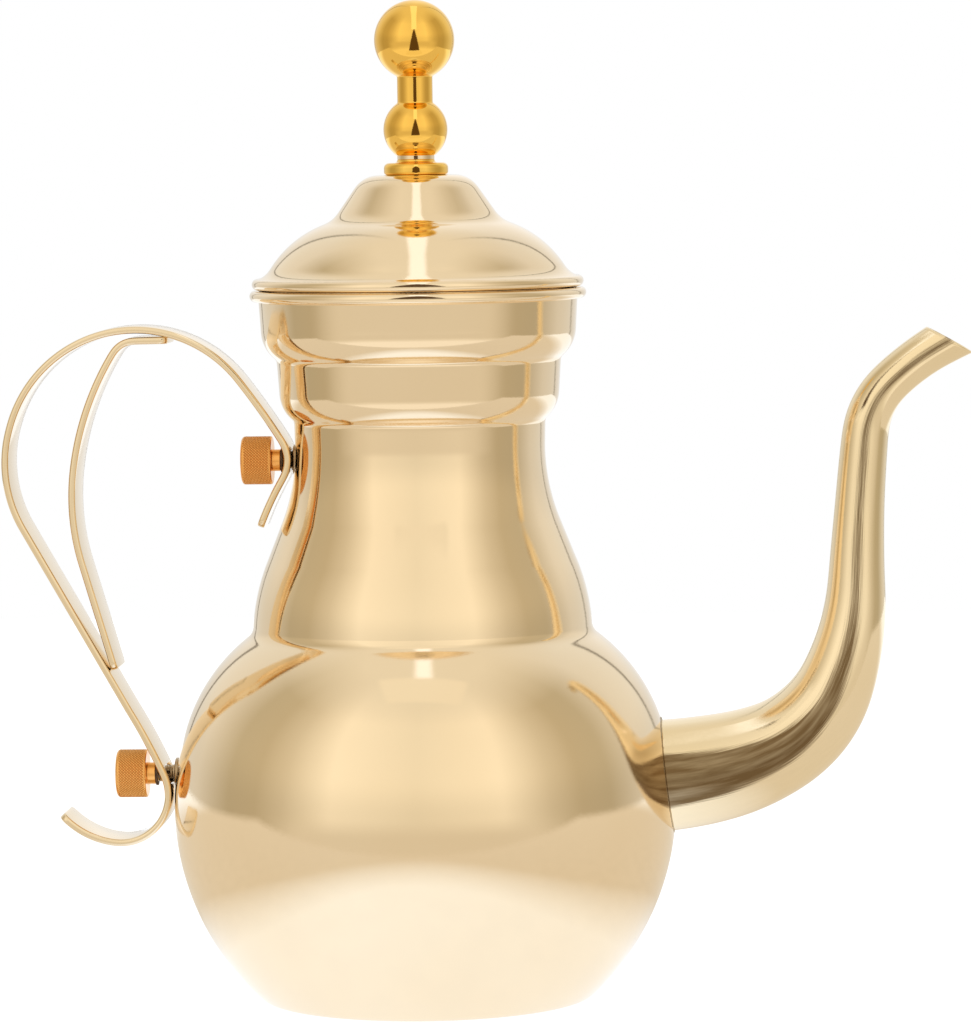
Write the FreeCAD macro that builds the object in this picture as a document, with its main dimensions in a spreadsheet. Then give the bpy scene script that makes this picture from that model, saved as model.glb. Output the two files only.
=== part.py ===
import FreeCAD, Part
import os
import Sketcher

# Dallah coffee pot: a thin steel body with a gooseneck spout, a lift-off lid under a turned
# finial, and a strap handle that two knurled thumb nuts hold on studs welded to the body.
#
# Millimetres. The origin is on the pot's axis at the base, +Z is up, the spout points along +X
# and the handle is on the -X side.

Vector = FreeCAD.Vector
Rotation = FreeCAD.Rotation
Placement = FreeCAD.Placement

ORIGIN = Vector(0, 0, 0)
UPRIGHT = Rotation(Vector(1, 0, 0), 90)                      # sketch x is +X, sketch y is +Z
HANDLE_SIDE = Rotation(Vector(0, 0, 1), 180) * UPRIGHT       # sketch x is -X, sketch y is +Z
OUTWARD = Rotation(Vector(0, 1, 0), -90)                     # a turned piece's own +Z becomes -X

# ------------------------------------------------------------------ driving dimensions

DIMENSIONS = {
    "wall": 0.8,                    # body, lid and spout sheet
    "base_radius": 41.0,            # disc that closes the belly
    "base_thickness": 1.0,
    "weld_radius": 47.6,            # the neck is butt-welded to the belly here and polished flush
    "weld_height": 105.0,
    "strainer_hole": 3.2,           # holes through the belly behind the spout
    "strainer_ring": 5.0,           # step between the rings of holes
    "strainer_height": 62.8,
    "bead_radius": 1.55,            # rolled edges of the mouth and of the lid
    "mouth_bead_ring": 45.55,
    "mouth_bead_height": 197.95,
    "lid_bead_ring": 44.85,
    "lid_bead_height": 201.2,
    "skirt_radius": 42.9,           # lid skirt, which slips into the mouth
    "skirt_wall": 0.6,
    "skirt_bottom": 188.8,
    "skirt_top": 201.5,
    "skirt_flange": 44.1,           # the flange is rolled into the lid's bead
    "lid_top": 231.2,
    "screw_radius": 2.45,           # finial screw, from inside the lid
    "screw_clearance": 0.05,
    "screw_length": 12.0,
    "screw_head_radius": 4.5,
    "screw_head_height": 2.4,
    "screw_head_edge": 1.0,
    "screw_slot_width": 1.2,
    "screw_slot_depth": 1.3,
    "screw_washer_radius": 6.0,
    "screw_washer_thickness": 0.8,
    "flange_radius": 9.0,           # finial flange, with a short collar that flares into it
    "flange_height": 3.4,
    "flange_edge": 1.5,
    "flange_foot_edge": 0.9,
    "collar_height": 0.9,
    "spacer_radius": 5.2,           # pale ring between the collar and the lower ball
    "spacer_height": 1.15,
    "small_ball": 8.95,
    "small_ball_height": 243.8,
    "stem_radius": 4.95,
    "large_ball": 11.2,
    "large_ball_height": 268.7,
    "strap_thickness": 2.0,
    "strap_width": 18.0,
    "strap_hole": 5.6,
    "stud_radius": 2.45,            # welded studs and their feet
    "stud_length": 12.8,
    "foot_radius": 4.4,
    "foot_thickness": 0.55,
    "foot_sink": 2.0,
    "upper_height": 151.8,          # stud axes above the base
    "lower_height": 63.7,
    "upper_wall": 35.1,             # where the stud axes leave the body
    "lower_wall": 69.9,
    "upper_seat": 38.55,            # where the washers bear on the strap
    "lower_seat": 75.37,
    "washer_radius": 3.4,
    "washer_thickness": 0.6,
    "washer_bore": 2.55,
    "nut_radius": 6.75,             # thumb nuts
    "nut_head": 8.6,
    "nut_inner_chamfer": 0.4,
    "nut_outer_round": 1.0,
    "nut_neck_radius": 3.05,
    "nut_neck": 2.4,
    "nut_bore": 2.5,
    "nut_bore_depth": 9.6,
}

# Outlines: corners as (across, up, radius). The radius is that of the arc which arrives at the
# corner, positive where it turns left, negative where it turns right and 0 for a straight line.

BELLY = [
    ("dims.weld_radius", "dims.weld_height", 0),
    (48.99, 102.38, 3.6),
    (66.7, 77.7, -51.6),
    (69.2, 41.0, -72.8),
    (47.2, 0.8, -75.2),
    (45.16, "0", -3.0),
    ("dims.base_radius", "0", 0),
]

NECK = [
    ("dims.weld_radius", "dims.weld_height", 0),
    (43.0, 124.3, 58.9),
    (38.6, 135.4, 0),
    (35.0, 154.9, -57.8),
    (35.2, 162.8, 0),
    (39.2, 171.0, 10.4),
    (39.8, 180.0, 0),
    (44.1, 188.5, 10.3),
    (44.6, 197.0, 0),
]

# The lid's under face; the other two are outer faces.
LID = [
    ("dims.screw_radius + dims.screw_clearance", "dims.lid_top - dims.wall", 0),
    (11.0, "dims.lid_top - dims.wall", 0),
    (16.6, 227.2, -7.2),
    (21.4, 220.3, 0),
    (25.9, 216.9, 9.2),
    (40.4, 205.22, -29.4),
    (44.33, 201.9, 7.7),
]

SPOUT_SPINE = [
    (60.3, 61.4, 0),
    (68.3, 62.2, 0),
    (85.4, 64.9, 120.2),
    (99.9, 70.3, 64.8),
    (116.3, 89.3, 35.8),
    (121.6, 116.7, 78.7),
    (124.5, 158.5, -596.0),
    (131.7, 172.2, -22.4),
    (147.4, 183.3, -71.1),
    (154.7, 187.3, 0),
]
# Tube radius at each corner of the spine and half way along each leg between them.
SPOUT_RADII = [15.8, 15.8, 15.6, 15.4, 14.9, 14.2, 13.3, 12.2, 10.6, 9.2, 7.9, 6.9, 6.5, 6.1, 5.9, 5.9,
               6.2, 6.5, 6.7]
SPOUT_STATIONS = 25                # circles that the tube is lofted through, evenly spaced
MOUTH_POINT = (148.0, 183.5)
MOUTH_TILT = 29.5                  # the mouth is cut this far from level, in degrees
MOUTH_TOOL = 40.0

# Strainer: (ring, holes in it), punched along +X from inside the belly.
STRAINER_RINGS = ((0, 1), (1, 6), (2, 12))
PUNCH_FROM = 55.0
PUNCH_LENGTH = 25.0

# Straps on the handle side, across measured towards -X. The corners are one face of the strip.
STRAP = [
    (45.5, 133.9, 0),
    (39.0, 147.4, 85.1),
    (39.1, 157.3, -9.2),
    (51.2, 174.65, -216.0),
    (83.8, 187.8, -35.6),
    (113.6, 161.8, -36.0),
    (111.1, 135.2, -35.4),
    (81.5, 82.8, 0),
    (71.8, 64.0, 161.0),
    (86.9, 44.1, 14.5),
    (102.6, 52.2, 24.9),
]

BRACE = [
    (69.7, 185.1, 0),
    (79.3, 185.0, 0),
    (84.13, 182.31, -5.8),
    (95.7, 151.0, -80.1),
    (93.5, 122.6, -63.2),
    (85.2, 94.1, 0),
]

# ------------------------------------------------------------------ document and sheet

doc = FreeCAD.newDocument("dallah")
sheet = doc.addObject("Spreadsheet::Sheet", "dims")
aliases = []


def cell(alias, value):
    """Keep one number in the sheet under an alias, and give the expression that reads it."""
    if alias not in aliases:
        aliases.append(alias)
        row = len(aliases)
        sheet.set(f"A{row}", alias)
        sheet.set(f"B{row}", str(value))
        sheet.setAlias(f"B{row}", alias)
    return f"dims.{alias}"


def value_of(expression):
    """The number that an expression over the sheet stands for."""
    return float(sheet.evalExpression(expression))


def size(name):
    """The number in one cell of the sheet."""
    return value_of(f"dims.{name}")


def bind(item, **expressions):
    """Drive an object's properties from the sheet."""
    for name, expression in expressions.items():
        item.setExpression(name, expression)


for dimension, amount in DIMENSIONS.items():
    cell(dimension, amount)
doc.recompute()

# ------------------------------------------------------------------ sketches


def entry(alias, amount):
    """A corner's coordinate as (number, expression): a plain number gets its own cell."""
    if isinstance(amount, str):
        return value_of(amount), amount
    return float(amount), cell(alias, amount)


def arc_between(start, end, radius):
    """The short arc from start to end, turning left where radius is positive."""
    chord = end - start
    half = chord.Length / 2
    left = Vector(-chord.y, chord.x, 0) / chord.Length
    reach = (radius * radius - half * half) ** 0.5
    side = 1 if radius > 0 else -1
    centre = (start + end) / 2 + left * (reach * side)
    first, last = (start, end) if radius > 0 else (end, start)
    circle = Part.Circle(centre, Vector(0, 0, 1), abs(radius))
    return Part.ArcOfCircle(circle, circle.parameter(first), circle.parameter(last))


def fix_point(sketch, geometry, position, axis, number, expression):
    """Hold one coordinate of a point, on its axis where the coordinate is zero."""
    if number == 0:
        on_axis = -2 if axis == "X" else -1
        sketch.addConstraint(Sketcher.Constraint("PointOnObject", geometry, position, on_axis))
        return
    ends = (-1, 1, geometry, position) if number > 0 else (geometry, position, -1, 1)
    index = sketch.addConstraint(Sketcher.Constraint(f"Distance{axis}", *ends, abs(number)))
    sketch.setExpression(f"Constraints[{index}]", expression if number > 0 else f"-({expression})")


def draw(sketch, name, corners, closed):
    """Draw an outline through corners and bind every corner and radius to the sheet."""
    across = [entry(f"{name}_across_{i}", corner[0]) for i, corner in enumerate(corners)]
    upward = [entry(f"{name}_up_{i}", corner[1]) for i, corner in enumerate(corners)]
    points = [Vector(a[0], u[0], 0) for a, u in zip(across, upward)]
    ends = list(range(1, len(corners))) + ([0] if closed else [])
    joints = []
    for end in ends:
        start = end - 1
        radius = corners[end][2]
        if radius:
            geometry = sketch.addGeometry(arc_between(points[start], points[end], radius))
            reading = cell(f"{name}_radius_{end}", abs(radius))
            index = sketch.addConstraint(Sketcher.Constraint("Radius", geometry, abs(radius)))
            sketch.setExpression(f"Constraints[{index}]", reading)
        else:
            geometry = sketch.addGeometry(Part.LineSegment(points[start], points[end]))
        turned = radius < 0
        joints.append((geometry, 2 if turned else 1, 1 if turned else 2))
    for (before, _, tail), (after, head, _) in zip(joints, joints[1:]):
        sketch.addConstraint(Sketcher.Constraint("Coincident", before, tail, after, head))
    if closed:
        sketch.addConstraint(Sketcher.Constraint("Coincident", joints[-1][0], joints[-1][2],
                                                 joints[0][0], joints[0][1]))
    held = [(joint[0], joint[1]) for joint in joints]
    if not closed:
        held.append((joints[-1][0], joints[-1][2]))
    for (geometry, position), a, u in zip(held, across, upward):
        fix_point(sketch, geometry, position, "X", *a)
        fix_point(sketch, geometry, position, "Y", *u)


def free_sketch(name, corners, closed=False, turn=UPRIGHT):
    """An outline that stands in the XZ plane."""
    sketch = doc.addObject("Sketcher::SketchObject", name)
    sketch.Placement = Placement(ORIGIN, turn)
    draw(sketch, name, corners, closed)
    return sketch


def origin_plane(body, role):
    """One of a body's own origin planes."""
    return next(item for item in body.Origin.OriginFeatures if item.Role == role)


def body_sketch(body, name, role):
    """An empty sketch on one of a body's origin planes."""
    sketch = body.newObject("Sketcher::SketchObject", name)
    sketch.AttachmentSupport = [(origin_plane(body, role), "")]
    sketch.MapMode = "FlatFace"
    return sketch


# ------------------------------------------------------------------ ways of making a piece

NODES = {}


def node(name, item):
    """Register a finished piece: its label is the name of its file."""
    item.Label = name
    NODES[name] = item
    return item


def spun_shell(name, corners, thickness):
    """Sheet of one thickness, spun about the pot's axis. The corners are one of its faces."""
    path = free_sketch(f"{name}_outline", corners)
    section = doc.addObject("Part::Offset2D", f"{name}_section")
    section.Source = path
    section.Mode = "Skin"
    section.Join = "Intersection"
    section.Fill = True
    bind(section, Value=thickness)
    return spin(f"{name}_spun", section)


def spin(name, source):
    """Turn a section right round the pot's axis."""
    solid = doc.addObject("Part::Revolution", name)
    solid.Source = source
    solid.Axis = Vector(0, 0, 1)
    solid.Base = ORIGIN
    solid.Angle = 360
    solid.Solid = True
    return solid


def turned_body(name, corners):
    """A lathe-turned piece about its own Z axis, as a PartDesign body."""
    body = doc.addObject("PartDesign::Body", f"{name}_body")
    sketch = body_sketch(body, f"{name}_profile", "XZ_Plane")
    draw(sketch, name, corners, closed=True)
    turning = body.newObject("PartDesign::Revolution", f"{name}_turning")
    turning.Profile = sketch
    turning.ReferenceAxis = (sketch, ["V_Axis"])
    turning.Angle = 360
    body.Tip = turning
    return node(name, body)


def strip(name, corners):
    """Flat strap bent along an outline on the handle side. It lies to the left of its corners."""
    path = free_sketch(f"{name}_outline", corners, turn=HANDLE_SIDE)
    section = doc.addObject("Part::Offset2D", f"{name}_section")
    section.Source = path
    section.Mode = "Skin"
    section.Join = "Intersection"
    section.Fill = True
    bind(section, Value="-dims.strap_thickness")
    solid = doc.addObject("Part::Extrusion", f"{name}_strip")
    solid.Base = section
    solid.DirMode = "Custom"
    solid.Dir = Vector(0, 1, 0)
    solid.Symmetric = True
    solid.Solid = True
    bind(solid, LengthFwd="dims.strap_width")
    return solid


def boolean(kind, name, base, tool):
    """A Part::Cut or Part::Fuse of two objects."""
    result = doc.addObject(f"Part::{kind}", name)
    result.Base = base
    result.Tool = tool
    return result


def cylinder(name, radius, height):
    """A Part::Cylinder with its sizes bound to the sheet."""
    item = doc.addObject("Part::Cylinder", name)
    bind(item, Radius=radius, Height=height)
    return item


def bead(name, ring, height):
    """A rolled edge round the pot's axis."""
    item = doc.addObject("Part::Torus", name)
    bind(item, Radius1=ring, Radius2="dims.bead_radius")
    item.setExpression("Placement.Base.z", height)
    return item


# ------------------------------------------------------------------ body


def core(name, outline_name, corners, ends):
    """The solid inside an outline, which copes what is welded to the outside."""
    sketch = doc.addObject("Sketcher::SketchObject", f"{name}_outline")
    sketch.Placement = Placement(ORIGIN, UPRIGHT)
    axis = [("0", height, 0) for height in ends]
    draw(sketch, outline_name, corners + axis, closed=True)
    return spin(name, sketch)


def make_belly():
    """Belly shell with the strainer holes behind the spout."""
    shell = spun_shell("belly", BELLY, "-dims.wall")
    holes = []
    for ring, count in STRAINER_RINGS:
        for place in range(count):
            around = Rotation(Vector(1, 0, 0), 360 * place / count)
            offset = around.multVec(Vector(0, 0, ring * size("strainer_ring")))
            start = Vector(PUNCH_FROM, offset.y, size("strainer_height") + offset.z)
            hole = doc.addObject("Part::Cylinder", f"strainer_{ring}_{place}")
            hole.Height = PUNCH_LENGTH
            hole.Placement = Placement(start, Rotation(Vector(0, 1, 0), 90))
            bind(hole, Radius="dims.strainer_hole / 2")
            holes.append(hole)
    punch = doc.addObject("Part::Compound", "strainer_punch")
    punch.Links = holes
    return node("belly_shell", boolean("Cut", "belly_cut", shell, punch))


def make_base():
    """Flat disc that closes the belly and is the pot's foot."""
    return turned_body("base_plate", [
        ("0", "0", 0),
        ("dims.base_radius", "0", 0),
        ("dims.base_radius", "dims.base_thickness", 0),
        ("0", "dims.base_thickness", 0),
    ])


def make_neck():
    """Neck and its two stepped tiers, with the mouth's rolled edge."""
    shell = spun_shell("neck", NECK, "dims.wall")
    rolled = bead("mouth_bead", "dims.mouth_bead_ring", "dims.mouth_bead_height")
    return node("neck_shell", boolean("Fuse", "neck_fuse", shell, rolled))


def make_spout(belly_core):
    """Tapered gooseneck tube, coped to the belly and cut on a slant at the mouth."""
    spine = free_sketch("spout_spine", SPOUT_SPINE)
    doc.recompute()
    stations = tube_stations(spine.Shape.Wires[0])
    outer = tube("spout_outer", stations, "")
    inner = tube("spout_inner", stations, " - dims.wall")
    pipe = boolean("Cut", "spout_pipe", outer, inner)
    coped = boolean("Cut", "spout_coped", pipe, belly_core)
    tool = doc.addObject("Part::Box", "mouth_tool")
    tool.Length = MOUTH_TOOL
    tool.Width = MOUTH_TOOL
    tool.Height = MOUTH_TOOL
    tilt = Rotation(Vector(0, 1, 0), MOUTH_TILT)
    middle = Vector(MOUTH_TOOL / 2, MOUTH_TOOL / 2, 0)
    corner = Vector(MOUTH_POINT[0], 0, MOUTH_POINT[1]) - tilt.multVec(middle)
    tool.Placement = Placement(corner, tilt)
    return node("spout_tube", boolean("Cut", "spout_cut", coped, tool))


def tube_stations(spine):
    """Evenly spaced places along the spine, each with its direction and the tube's radius there."""
    distances = [0.0]
    for leg in spine.OrderedEdges:
        distances.append(distances[-1] + leg.Length / 2)
        distances.append(distances[-1] + leg.Length / 2)
    readings = [Vector(far, radius, 0) for far, radius in zip(distances, SPOUT_RADII)]
    taper = Part.BSplineCurve()
    taper.interpolate(Points=readings, Parameters=distances)
    places = spine.discretize(Number=SPOUT_STATIONS)
    if places[0].x > places[-1].x:
        places.reverse()
    step = spine.Length / (SPOUT_STATIONS - 1)
    stations = []
    for i, place in enumerate(places):
        along = places[min(i + 1, SPOUT_STATIONS - 1)] - places[max(i - 1, 0)]
        radius = round(taper.value(i * step).y, 3)
        stations.append((place, along, cell(f"spout_station_{i}", radius)))
    return stations


def tube(name, stations, less):
    """A solid lofted through one circle per station."""
    circles = []
    for i, (place, along, radius) in enumerate(stations):
        circle = doc.addObject("Part::Circle", f"{name}_{i}")
        bind(circle, Radius=f"{radius}{less}")
        circle.Placement = Placement(place, Rotation(Vector(0, 0, 1), along))
        circles.append(circle)
    loft = doc.addObject("Part::Loft", name)
    loft.Sections = circles
    loft.Solid = True
    loft.Ruled = False
    return loft


# ------------------------------------------------------------------ lid and finial


def make_lid():
    """Pressed lid with a rolled edge, and the skirt that centres it in the mouth."""
    shell = spun_shell("lid", LID, "dims.wall")
    rolled = bead("lid_bead", "dims.lid_bead_ring", "dims.lid_bead_height")
    node("lid_dome", boolean("Fuse", "lid_fuse", shell, rolled))
    inner = "dims.skirt_radius - dims.skirt_wall"
    turned_body("lid_skirt", [
        (inner, "dims.skirt_bottom", 0),
        ("dims.skirt_radius", "dims.skirt_bottom", 0),
        ("dims.skirt_radius", "dims.skirt_top - dims.skirt_wall", 0),
        ("dims.skirt_flange", "dims.skirt_top - dims.skirt_wall", 0),
        ("dims.skirt_flange", "dims.skirt_top", 0),
        (inner, "dims.skirt_top", 0),
    ])


def make_finial():
    """Flange, pale spacer and the turned double-ball knob, all bored for the screw."""
    bore = "dims.screw_radius + dims.screw_clearance"
    low = "dims.lid_top"
    flange_top = "dims.lid_top + dims.flange_height"
    collar_top = f"{flange_top} + dims.collar_height"
    spacer_top = f"{collar_top} + dims.spacer_height"
    turned_body("finial_flange", [
        (bore, low, 0),
        ("dims.flange_radius - dims.flange_foot_edge", low, 0),
        ("dims.flange_radius", f"{low} + dims.flange_foot_edge", size("flange_foot_edge")),
        ("dims.flange_radius", f"{flange_top} - dims.flange_edge", 0),
        ("dims.flange_radius - dims.flange_edge", flange_top, size("flange_edge")),
        ("dims.spacer_radius + dims.collar_height", flange_top, 0),
        ("dims.spacer_radius", collar_top, -size("collar_height")),
        (bore, collar_top, 0),
    ])
    turned_body("finial_spacer", [
        (bore, collar_top, 0),
        ("dims.spacer_radius", collar_top, 0),
        ("dims.spacer_radius", spacer_top, 0),
        (bore, spacer_top, 0),
    ])
    small, large, stem = size("small_ball"), size("large_ball"), size("stem_radius")
    seat = value_of(spacer_top)
    waist = (small ** 2 - (size("small_ball_height") - seat) ** 2) ** 0.5
    stem_low = size("small_ball_height") + (small ** 2 - stem ** 2) ** 0.5
    stem_high = size("large_ball_height") - (large ** 2 - stem ** 2) ** 0.5
    bore_top = "dims.lid_top + dims.screw_length"
    turned_body("finial_knob", [
        (bore, spacer_top, 0),
        (round(waist, 3), spacer_top, 0),
        ("dims.small_ball", "dims.small_ball_height", small),
        ("dims.stem_radius", round(stem_low, 3), small),
        ("dims.stem_radius", round(stem_high, 3), 0),
        ("dims.large_ball", "dims.large_ball_height", large),
        ("0", "dims.large_ball_height + dims.large_ball", large),
        ("0", bore_top, 0),
        (bore, bore_top, 0),
    ])


def make_finial_screw():
    """Pan-head screw and washer that pull the finial down from inside the lid."""
    under_lid = "dims.lid_top - dims.wall"
    seat = f"{under_lid} - dims.screw_washer_thickness"
    turned_body("finial_washer", [
        ("dims.screw_radius + dims.screw_clearance", seat, 0),
        ("dims.screw_washer_radius", seat, 0),
        ("dims.screw_washer_radius", under_lid, 0),
        ("dims.screw_radius + dims.screw_clearance", under_lid, 0),
    ])
    head = f"{seat} - dims.screw_head_height"
    screw = turned_body("finial_screw", [
        ("0", head, 0),
        ("dims.screw_head_radius - dims.screw_head_edge", head, 0),
        ("dims.screw_head_radius", f"{head} + dims.screw_head_edge", size("screw_head_edge")),
        ("dims.screw_head_radius", seat, 0),
        ("dims.screw_radius", seat, 0),
        ("dims.screw_radius", f"{seat} + dims.screw_length", 0),
        ("0", f"{seat} + dims.screw_length", 0),
    ])
    doc.recompute()
    whole = screw.Shape.Volume
    slot = body_sketch(screw, "screw_slot", "XZ_Plane")
    half = "dims.screw_slot_width / 2"
    box = [
        (half, head, 0),
        (half, f"{head} + dims.screw_slot_depth", 0),
        ("-dims.screw_slot_width / 2", f"{head} + dims.screw_slot_depth", 0),
        ("-dims.screw_slot_width / 2", head, 0),
    ]
    draw(slot, "screw_slot", box, closed=True)
    pocket = screw.newObject("PartDesign::Pocket", "screw_slot_cut")
    pocket.Profile = slot
    pocket.Midplane = True
    bind(pocket, Length="dims.screw_head_radius * 3")
    screw.Tip = pocket
    doc.recompute()
    if screw.Shape.Volume >= whole:
        raise RuntimeError("the screw's slot cuts nothing")


# ------------------------------------------------------------------ handle


def make_handle():
    """Main strap with two stud holes, and the brace strap inside its loop."""
    strap = strip("strap", STRAP)
    holes = []
    for place in ("upper", "lower"):
        hole = cylinder(f"{place}_hole", "dims.strap_hole / 2", "dims.stud_length")
        on_stud(hole, place, f"dims.{place}_wall")
        holes.append(hole)
    drill = doc.addObject("Part::Compound", "strap_drill")
    drill.Links = holes
    node("handle_strap", boolean("Cut", "strap_cut", strap, drill))
    node("handle_brace", strip("brace", BRACE))


def on_stud(item, place, out):
    """Put a piece on a stud's axis, its own +Z outward, starting at a distance from the pot's axis."""
    item.Placement = Placement(ORIGIN, OUTWARD)
    item.setExpression("Placement.Base.x", f"-({out})")
    item.setExpression("Placement.Base.z", f"dims.{place}_height")


def make_fixing(place, body_core):
    """The stud of one fixing, with its thin washer and its thumb nut."""
    wall = f"dims.{place}_wall"
    foot = cylinder(f"{place}_foot", "dims.foot_radius", "dims.foot_thickness + dims.foot_sink")
    on_stud(foot, place, f"{wall} - dims.foot_sink")
    shank = cylinder(f"{place}_shank", "dims.stud_radius", "dims.stud_length")
    on_stud(shank, place, wall)
    stud = boolean("Fuse", f"{place}_stud_fuse", foot, shank)
    node(f"{place}_stud", boolean("Cut", f"{place}_stud_cut", stud, body_core))

    washer = turned_body(f"{place}_washer", [
        ("dims.washer_bore", "0", 0),
        ("dims.washer_radius", "0", 0),
        ("dims.washer_radius", "dims.washer_thickness", 0),
        ("dims.washer_bore", "dims.washer_thickness", 0),
    ])
    on_stud(washer, place, f"dims.{place}_seat")

    head = "dims.nut_neck + dims.nut_head"
    nut = turned_body(f"{place}_thumb_nut", [
        ("dims.nut_bore", "0", 0),
        ("dims.nut_neck_radius", "0", 0),
        ("dims.nut_neck_radius", "dims.nut_neck", 0),
        ("dims.nut_radius - dims.nut_inner_chamfer", "dims.nut_neck", 0),
        ("dims.nut_radius", "dims.nut_neck + dims.nut_inner_chamfer", 0),
        ("dims.nut_radius", f"{head} - dims.nut_outer_round", 0),
        ("dims.nut_radius - dims.nut_outer_round", head, size("nut_outer_round")),
        ("0", head, 0),
        ("0", "dims.nut_bore_depth", 0),
        ("dims.nut_bore", "dims.nut_bore_depth", 0),
    ])
    on_stud(nut, place, f"dims.{place}_seat + dims.washer_thickness")


# ------------------------------------------------------------------ build, test and export


def check():
    """Stop on any object that failed, and on any piece that isn't a valid solid."""
    for item in doc.Objects:
        if "Invalid" in item.State or "Error" in item.State:
            raise RuntimeError(f"{item.Label} failed: {item.State}")
    for name, item in NODES.items():
        shape = item.Shape
        if shape.isNull() or not shape.isValid() or not shape.Solids:
            raise RuntimeError(f"{name} has no valid solid")
        box = shape.BoundBox
        print(f"{name}: {len(shape.Solids)} solid, {shape.Volume:.1f} mm3, "
              f"x {box.XMin:.2f} {box.XMax:.2f}, z {box.ZMin:.2f} {box.ZMax:.2f}")


def export():
    """One STEP file for each piece."""
    os.makedirs("parts", exist_ok=True)
    for name, item in NODES.items():
        item.Shape.exportStep(f"parts/{name}.step")


belly_core = core("belly_core", "belly", BELLY, ("0", BELLY[0][1]))
neck_core = core("neck_core", "neck", NECK, (NECK[-1][1], NECK[0][1]))
make_belly()
make_base()
make_neck()
make_spout(belly_core)
make_lid()
make_finial()
make_finial_screw()
make_handle()
make_fixing("upper", neck_core)
make_fixing("lower", belly_core)
doc.recompute()
check()
export()
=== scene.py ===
import math

import bmesh
import bpy
import numpy as np
from mathutils import Matrix, Vector, noise


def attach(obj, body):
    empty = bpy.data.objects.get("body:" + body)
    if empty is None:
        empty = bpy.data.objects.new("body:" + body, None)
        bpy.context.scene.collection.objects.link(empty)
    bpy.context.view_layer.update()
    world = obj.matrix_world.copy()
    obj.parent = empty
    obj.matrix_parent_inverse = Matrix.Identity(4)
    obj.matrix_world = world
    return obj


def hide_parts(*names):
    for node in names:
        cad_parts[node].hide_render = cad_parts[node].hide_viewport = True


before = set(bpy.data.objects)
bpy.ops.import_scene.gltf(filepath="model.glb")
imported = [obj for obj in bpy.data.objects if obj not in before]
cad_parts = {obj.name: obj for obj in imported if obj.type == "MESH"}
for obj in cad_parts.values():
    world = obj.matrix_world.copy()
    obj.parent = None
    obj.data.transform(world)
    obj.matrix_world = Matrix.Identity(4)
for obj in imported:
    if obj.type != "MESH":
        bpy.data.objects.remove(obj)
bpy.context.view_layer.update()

# Looks for the dallah coffee pot. Lengths here are millimetres; MM takes them to metres.
# The pot's axis is Z, the spout points along +X and the handle is on the -X side.
MM = 0.001
SEGMENTS = 256
BELLY_STEP = 0.8
NECK_STEP = 0.35
CHUNK = 4096

# ------------------------------------------------------------------ outlines

# Corners are (across, up, radius): the radius of the arc that arrives at the corner, positive
# where it turns left, negative where it turns right, 0 for a straight line.
WALL = 0.8
BELLY = [
    (47.6, 105.0, 0),
    (48.99, 102.38, 3.6),
    (66.7, 77.7, -51.6),
    (69.2, 41.0, -72.8),
    (47.2, 0.8, -75.2),
    (45.16, 0.0, -3.0),
    (41.0, 0.0, 0),
]
NECK = [
    (47.6, 105.0, 0),
    (43.0, 124.3, 58.9),
    (38.6, 135.4, 0),
    (35.0, 154.9, -57.8),
    (35.2, 162.8, 0),
    (39.2, 171.0, 10.4),
    (39.8, 180.0, 0),
    (44.1, 188.5, 10.3),
    (44.6, 196.6, 0),
]
MOUTH_BEAD = (45.55, 197.95, 1.55)
LID_BEAD = (44.85, 201.2, 1.55)
LID_UNDER = [
    (2.5, 230.4, 0),
    (11.0, 230.4, 0),
    (16.6, 227.2, -7.2),
    (21.4, 220.3, 0),
    (25.9, 216.9, 9.2),
    (40.4, 205.22, -29.4),
    (44.33, 201.9, 7.7),
]
LID_TOP = 231.2
SHEET_BEAD_GAP = 0.1
SKIRT = [
    (42.3, 188.8, 0),
    (42.9, 188.8, 0),
    (42.9, 200.9, 0),
    (44.1, 200.9, 0),
    (44.1, 201.5, 0),
    (42.3, 201.5, 0),
]
SPOUT_SPINE = [
    (60.3, 61.4, 0),
    (68.3, 62.2, 0),
    (85.4, 64.9, 120.2),
    (99.9, 70.3, 64.8),
    (116.3, 89.3, 35.8),
    (121.6, 116.7, 78.7),
    (124.5, 158.5, -596.0),
    (131.7, 172.2, -22.4),
    (147.4, 183.3, -71.1),
    (154.7, 187.3, 0),
]
SPOUT_RADII = [15.8, 15.8, 15.6, 15.4, 14.9, 14.2, 13.3, 12.2, 10.6, 9.2, 7.9, 6.9, 6.5, 6.1, 5.9, 5.9,
               6.2, 6.5, 6.7]
MOUTH_POINT = (148.0, 183.5)
MOUTH_TILT = 29.5
STRAP = [
    (45.5, 133.9, 0),
    (39.0, 147.4, 85.1),
    (39.1, 157.3, -9.2),
    (51.2, 174.65, -216.0),
    (83.8, 187.8, -35.6),
    (113.6, 161.8, -36.0),
    (111.1, 135.2, -35.4),
    (81.5, 82.8, 0),
    (71.8, 64.0, 161.0),
    (86.9, 44.1, 14.5),
    (102.6, 52.2, 24.9),
]
BRACE = [
    (69.7, 185.1, 0),
    (79.3, 185.0, 0),
    (84.13, 182.31, -5.8),
    (95.7, 151.0, -80.1),
    (93.5, 122.6, -63.2),
    (85.2, 94.1, 0),
]
STRAP_THICKNESS = 2.0
STRAP_WIDTH = 18.0
STRAP_EDGE = 0.8
STRAP_CORNER = 2.2
STRAP_HOLE = 2.8
STRAP_SIDES = 48
STRAP_FLAT = 0.02
STRAP_END_ROWS = [0.0, 0.03, 0.1, 0.22, 0.4, 0.65, 0.95, 1.3, 1.7]
UPPER_HOLE_REACH = (30, 45)
LOWER_HOLE_REACH = (66, 80)

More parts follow.
